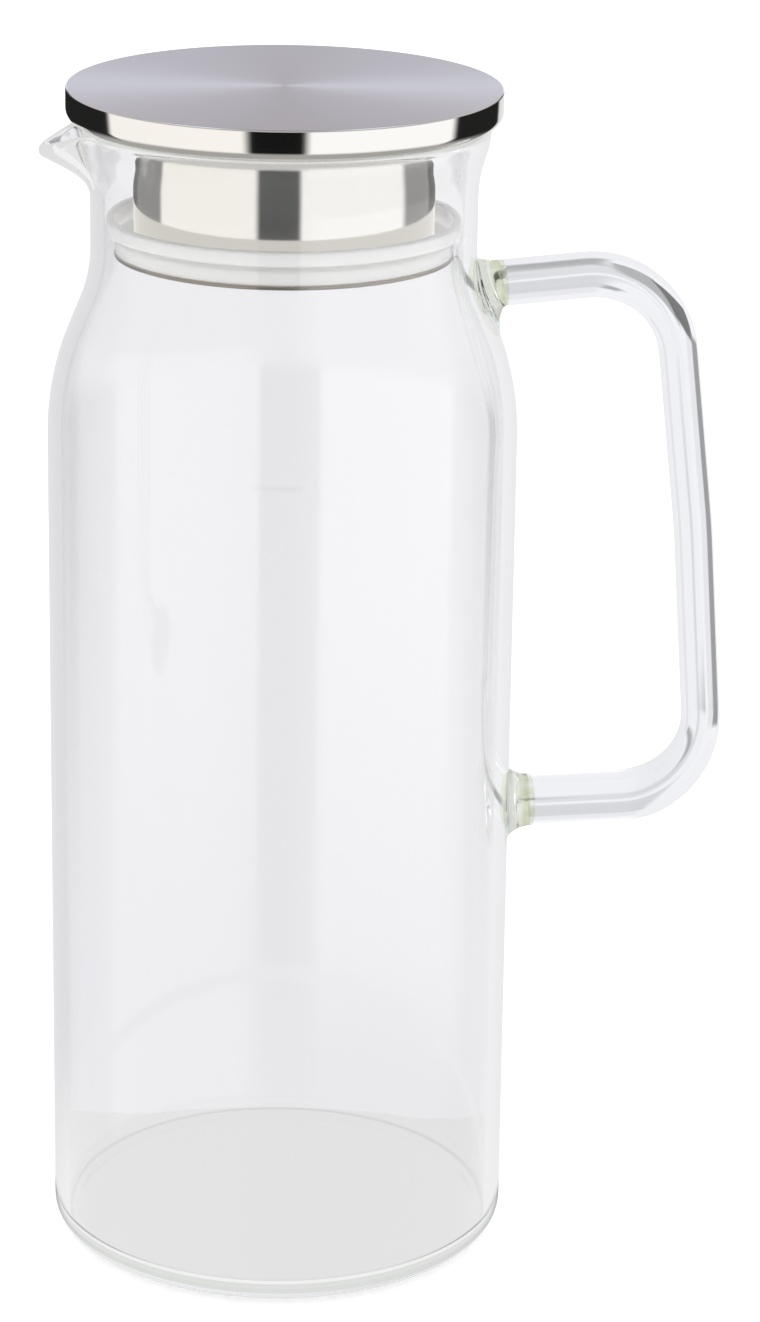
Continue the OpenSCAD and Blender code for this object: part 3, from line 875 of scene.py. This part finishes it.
glass_ring = ring_of_light([
    (-180, 0.86, COOL), (-150, 0.76, COOL), (-110, 0.74, COOL), (-96, 0.9, WARM),
    (-28, 0.9, WARM), (-12, 0.76, PLAIN), (4, 0.76, PLAIN), (24, 1.4, PLAIN), (99, 1.4, PLAIN),
    (112, 1.0, COOL), (180, 0.86, COOL)])

# Steel sees the ring of the lid's top from a little above the level of the table, and behind
# the jug from a little below it.
TOP_FROM, TOP_FROM_BEHIND, BEHIND_FROM = (4, 9), (-6, -3), (130, 150)
either_side = add(studio, "Math", {0: front_angle}, operation="ABSOLUTE")
steps = [add(studio, "MapRange", {"Value": angle, "From Min": low, "From Max": high},
             interpolation_type="SMOOTHSTEP")
         for angle, (low, high) in ((elevation, TOP_FROM), (elevation, TOP_FROM_BEHIND),
                                    (either_side, BEHIND_FROM))]
top_behind = add(studio, "Math", {0: steps[1], 1: steps[2]}, operation="MULTIPLY")
edge_to_top = add(studio, "Math", {0: steps[0], 1: top_behind}, operation="MAXIMUM")
steel_sees = add(studio, "Mix", {
    0: edge_to_top, COLOUR_A: lid_edge_ring, COLOUR_B: lid_top_ring}, data_type="RGBA")

HIGH_TONE, HIGH_FROM = grey(0.77, PINKISH), (8, 13)
CEILING, CEILING_FROM = grey(0.5), (35, 60)
HIGH_SIDES = {"tone": grey(1.6, SKY), "width": 70, "middle": 65, "tall": 24, "soft": 8}
TABLE_BELOW, TABLE_UP_TO = grey(0.56, WARM), (-40, -19)
steel_sees = turning(steel_sees, HIGH_TONE, *HIGH_FROM)
steel_sees = turning(steel_sees, CEILING, *CEILING_FROM)
for side in (-90, 90):
    steel_sees = field(steel_sees, around=front_angle, centre=side, **HIGH_SIDES)
steel_sees = turning(TABLE_BELOW, steel_sees, *TABLE_UP_TO)

LOW_TONE, LOW_UP_TO = grey(0.9), (-27, -24)
NECK_GAP = {"tone": grey(0.1), "centre": -3, "width": 25, "middle": -13, "tall": 1.8, "soft": 0.5}
PLUG_FROM, PLUG_UP_TO = (-22, -15), (-9, -4)
glass_sees = turning(LOW_TONE, glass_ring, *LOW_UP_TO)
glass_sees = field(glass_sees, around=front_angle, **NECK_GAP)
plug_sees = turning(glass_sees, plug_ring, *PLUG_FROM)
plug_sees = turning(plug_sees, glass_ring, *PLUG_UP_TO)
print("light for reflections ready")

# %% [markdown]
# What is seen straight through the jug is the cool pale backdrop. The solid glass rod of the
# handle bends light so strongly that it gathers the whole back of the studio into its width,
# so the few grey and dark places there show as streaks along it.

# %% What is seen through the glass
SEEN_HIGH, SEEN_LOW, SEEN_HIGH_FROM = grey(0.912, COOL), grey(0.87, COOL), (-25, -17)
seen_by_jug = turning(SEEN_LOW, SEEN_HIGH, *SEEN_HIGH_FROM)
seen_by_rod = grey(0.94, COOL)
# Each field has its level of grey, then its centre, width, middle, height and soft edge.
for level, *extent in (
        (0.83, 28.5, 6, -9, 30, 1.5),
        (0.8, -22, 16, -19.5, 5, 1.5),
        (0.74, 4.7, 4.5, -22, 14, 1.5),
        (0.42, 8, 7, -35, 14, 3),
        (0.84, 2, 8, 16, 14, 3),
        (0.69, 1.5, 10, -1, 21, 2),
        (0.42, -2.5, 12, -27.5, 15.5, 1),
        (0.1, -17, 21, -27.6, 12.4, 0.9),
        (0.25, -32, 14, -20.5, 6.5, 1.5),
        (0.42, 15.5, 17, -21.3, 3, 1.2),
        (0.4, 9, 5, 7, 7, 1.5)):
    seen_by_rod = field(seen_by_rod, grey(level, COOL), back_angle, *extent)
print("back of the studio ready")

# %% [markdown]
# The light path says what kind of ray asks. The camera sees white beside the jug, and matt
# surfaces get an even light. A ray that left polished glass is singular, and one that left
# steel isn't, so each can be given its own ring. A ray that came back from the plug has
# passed the wall of the neck twice, through four faces of glass. One that only went through
# the rod has passed two faces, and one through the jug four. The seal sits in the neck, where
# the glass and the polished plug gather light on it, so its even light is a little stronger.

# %% Join the studio
EVEN_LIGHT, LIGHT_IN_JUG, BESIDE_THE_JUG = grey(0.98), grey(1.4), grey(1.0)
TWO_WALLS = 3.5
path = add(studio, "LightPath").outputs
two_walls = ray_after(studio, "Transmission", TWO_WALLS)
even = add(studio, "Mix", {
    0: ray_after(studio, "Transmission", ANY_BOUNCE), COLOUR_A: EVEN_LIGHT,
    COLOUR_B: LIGHT_IN_JUG}, data_type="RGBA")
reflected = steel_sees
for ray, tone in ((path["Is Singular Ray"], glass_sees), (two_walls, plug_sees)):
    reflected = add(studio, "Mix", {0: ray, COLOUR_A: reflected, COLOUR_B: tone},
                    data_type="RGBA")
light = seen_by_rod
for ray, tone in ((two_walls, seen_by_jug), (ray_after(studio, "Glossy", ANY_BOUNCE), reflected),
                  (ray_after(studio, "Diffuse", ANY_BOUNCE), even),
                  (path["Is Camera Ray"], BESIDE_THE_JUG)):
    light = add(studio, "Mix", {0: ray, COLOUR_A: light, COLOUR_B: tone}, data_type="RGBA")
background = add(studio, "Background", {"Color": light, "Strength": 1.0})
add(studio, "OutputWorld", {"Surface": background})
world.cycles.sampling_method = "NONE"
# The Standard view shows the levels of light as they are, without the curve of a film.
bpy.context.scene.view_settings.view_transform = "Standard"
print("studio nodes:", len(studio.nodes))

# %% [markdown]
# ## The table
# The table is a plain pale plane. To the camera it is almost white and keeps the faint
# shadow of the jug. Through the glass its own warm grey shows, as far as the table's edge
# close behind the jug, where the cooler backdrop begins. That edge runs round the jug as a
# rounded rectangle, so the table ends behind the jug from every side. The low arm of the
# handle gathers the near part of the table into its width, and shows it lighter and further
# out. All sizes of the table are in metres.

# %% Table
TABLE_SIZE, TABLE_DROP = 6.0, 0.0003
half = TABLE_SIZE / 2
table_mesh = bpy.data.meshes.new("table_plane")
table_mesh.from_pydata([(-half, -half, -TABLE_DROP), (half, -half, -TABLE_DROP),
                        (half, half, -TABLE_DROP), (-half, half, -TABLE_DROP)], [], [(0, 1, 2, 3)])
table = bpy.data.objects.new("table_plane", table_mesh)
bpy.context.scene.collection.objects.link(table)

# Matt laminate has no reflections, only an even white that takes a soft shadow.
TABLE_WHITE, TABLE_LIFT = 0.9, 0.4
laminate = empty_material("matt_white_laminate")
table_mesh.materials.append(laminate)
tree = laminate.node_tree
matt = add(tree, "BsdfDiffuse", {"Color": grey(TABLE_WHITE)})
lift = add(tree, "Emission", {"Color": grey(1.0), "Strength": TABLE_LIFT})
white = add(tree, "AddShader", {0: matt, 1: lift})
print("table of", TABLE_SIZE, "m")

# %% How far the table reaches from the jug
ALONG_VIEW = (math.sin(CAMERA_YAW), math.cos(CAMERA_YAW), 0)
ACROSS_VIEW = (math.cos(CAMERA_YAW), -math.sin(CAMERA_YAW), 0)
TABLE_ASPECT, SQUARENESS = 1.4, 8
place = add(tree, "TexCoord").outputs["Object"]
powers = []
for axis, stretch in ((ALONG_VIEW, 1), (ACROSS_VIEW, TABLE_ASPECT)):
    size = add(tree, "VectorMath", {0: place, 1: axis}, operation="DOT_PRODUCT")
    size = add(tree, "Math", {0: size}, operation="ABSOLUTE")
    size = add(tree, "Math", {0: size, 1: stretch}, operation="DIVIDE")
    powers.append(add(tree, "Math", {0: size, 1: SQUARENESS}, operation="POWER"))
both = add(tree, "Math", {0: powers[0], 1: powers[1]}, operation="ADD")
reach = add(tree, "Math", {0: both, 1: 1 / SQUARENESS}, operation="POWER")
from_axis = add(tree, "VectorMath", {0: place}, operation="LENGTH")
print("table", TABLE_ASPECT, "times as wide as deep")

# %% [markdown]
# Little light gets under the rounded edge of the base, so there the table is darker, in two
# thin rings. One shows through the glass. The other is thrown on by the foot of the wall and
# makes the grey line round the base.

# %% What the glass shows of the table
def thin_ring(inner, outer):
    """1 in a ring round the jug and 0 elsewhere. Each edge is a soft step from low to high."""
    steps = [add(tree, "MapRange", {"Value": from_axis, "From Min": low, "From Max": high},
                 interpolation_type="SMOOTHSTEP") for low, high in (inner, outer)]
    return add(tree, "Math", {0: steps[0], 1: steps[1]}, operation="SUBTRACT")


CONTACT_IN, CONTACT_OUT, CONTACT_TONE = (0.0503, 0.0516), (0.0526, 0.0538), grey(0.66)
CREVICE_IN, CREVICE_OUT, CREVICE_TONE = (0.0518, 0.0525), (0.0555, 0.0575), grey(0.35)
contact, crevice = thin_ring(CONTACT_IN, CONTACT_OUT), thin_ring(CREVICE_IN, CREVICE_OUT)
open_air = add(tree, "BsdfTransparent")


def strip(tone, edge, soft):
    """The table in one tone as far as its edge, and open air behind."""
    painted = add(tree, "Mix", {0: contact, COLOUR_A: tone, COLOUR_B: CONTACT_TONE},
                  data_type="RGBA")
    paint = add(tree, "Emission", {"Color": painted, "Strength": 1.0})
    beyond = add(tree, "MapRange", {"Value": reach, "From Min": edge - soft, "From Max": edge + soft},
                 interpolation_type="SMOOTHSTEP")
    return add(tree, "MixShader", {0: beyond, 1: paint, 2: open_air})


TABLE_EDGE, EDGE_SOFT, TABLE_TONE = 0.053, 0.001, grey(0.775)
ROD_EDGE, ROD_EDGE_SOFT, ROD_TONE = 0.25, 0.02, grey(0.9, COOL)
through_jug = strip(TABLE_TONE, TABLE_EDGE, EDGE_SOFT)
through_rod = strip(ROD_TONE, ROD_EDGE, ROD_EDGE_SOFT)
two_walls = ray_after(tree, "Transmission", TWO_WALLS)
through_glass = add(tree, "MixShader", {0: two_walls, 1: through_rod, 2: through_jug})
crevice_paint = add(tree, "Emission", {"Color": CREVICE_TONE, "Strength": 1.0})
at_the_foot = add(tree, "Math", {0: crevice, 1: two_walls}, operation="SUBTRACT", use_clamp=True)
reflected_table = add(tree, "MixShader", {0: at_the_foot, 1: open_air, 2: crevice_paint})
surface = white
for ray, seen in ((add(tree, "LightPath").outputs["Is Transmission Ray"], through_glass),
                  (ray_after(tree, "Glossy", ANY_BOUNCE), reflected_table)):
    surface = add(tree, "MixShader", {0: ray, 1: surface, 2: seen})
add(tree, "OutputMaterial", {"Surface": surface})
print("table edge", TABLE_EDGE, "m from the jug's axis")

# %% Update the scene
bpy.context.view_layer.update()
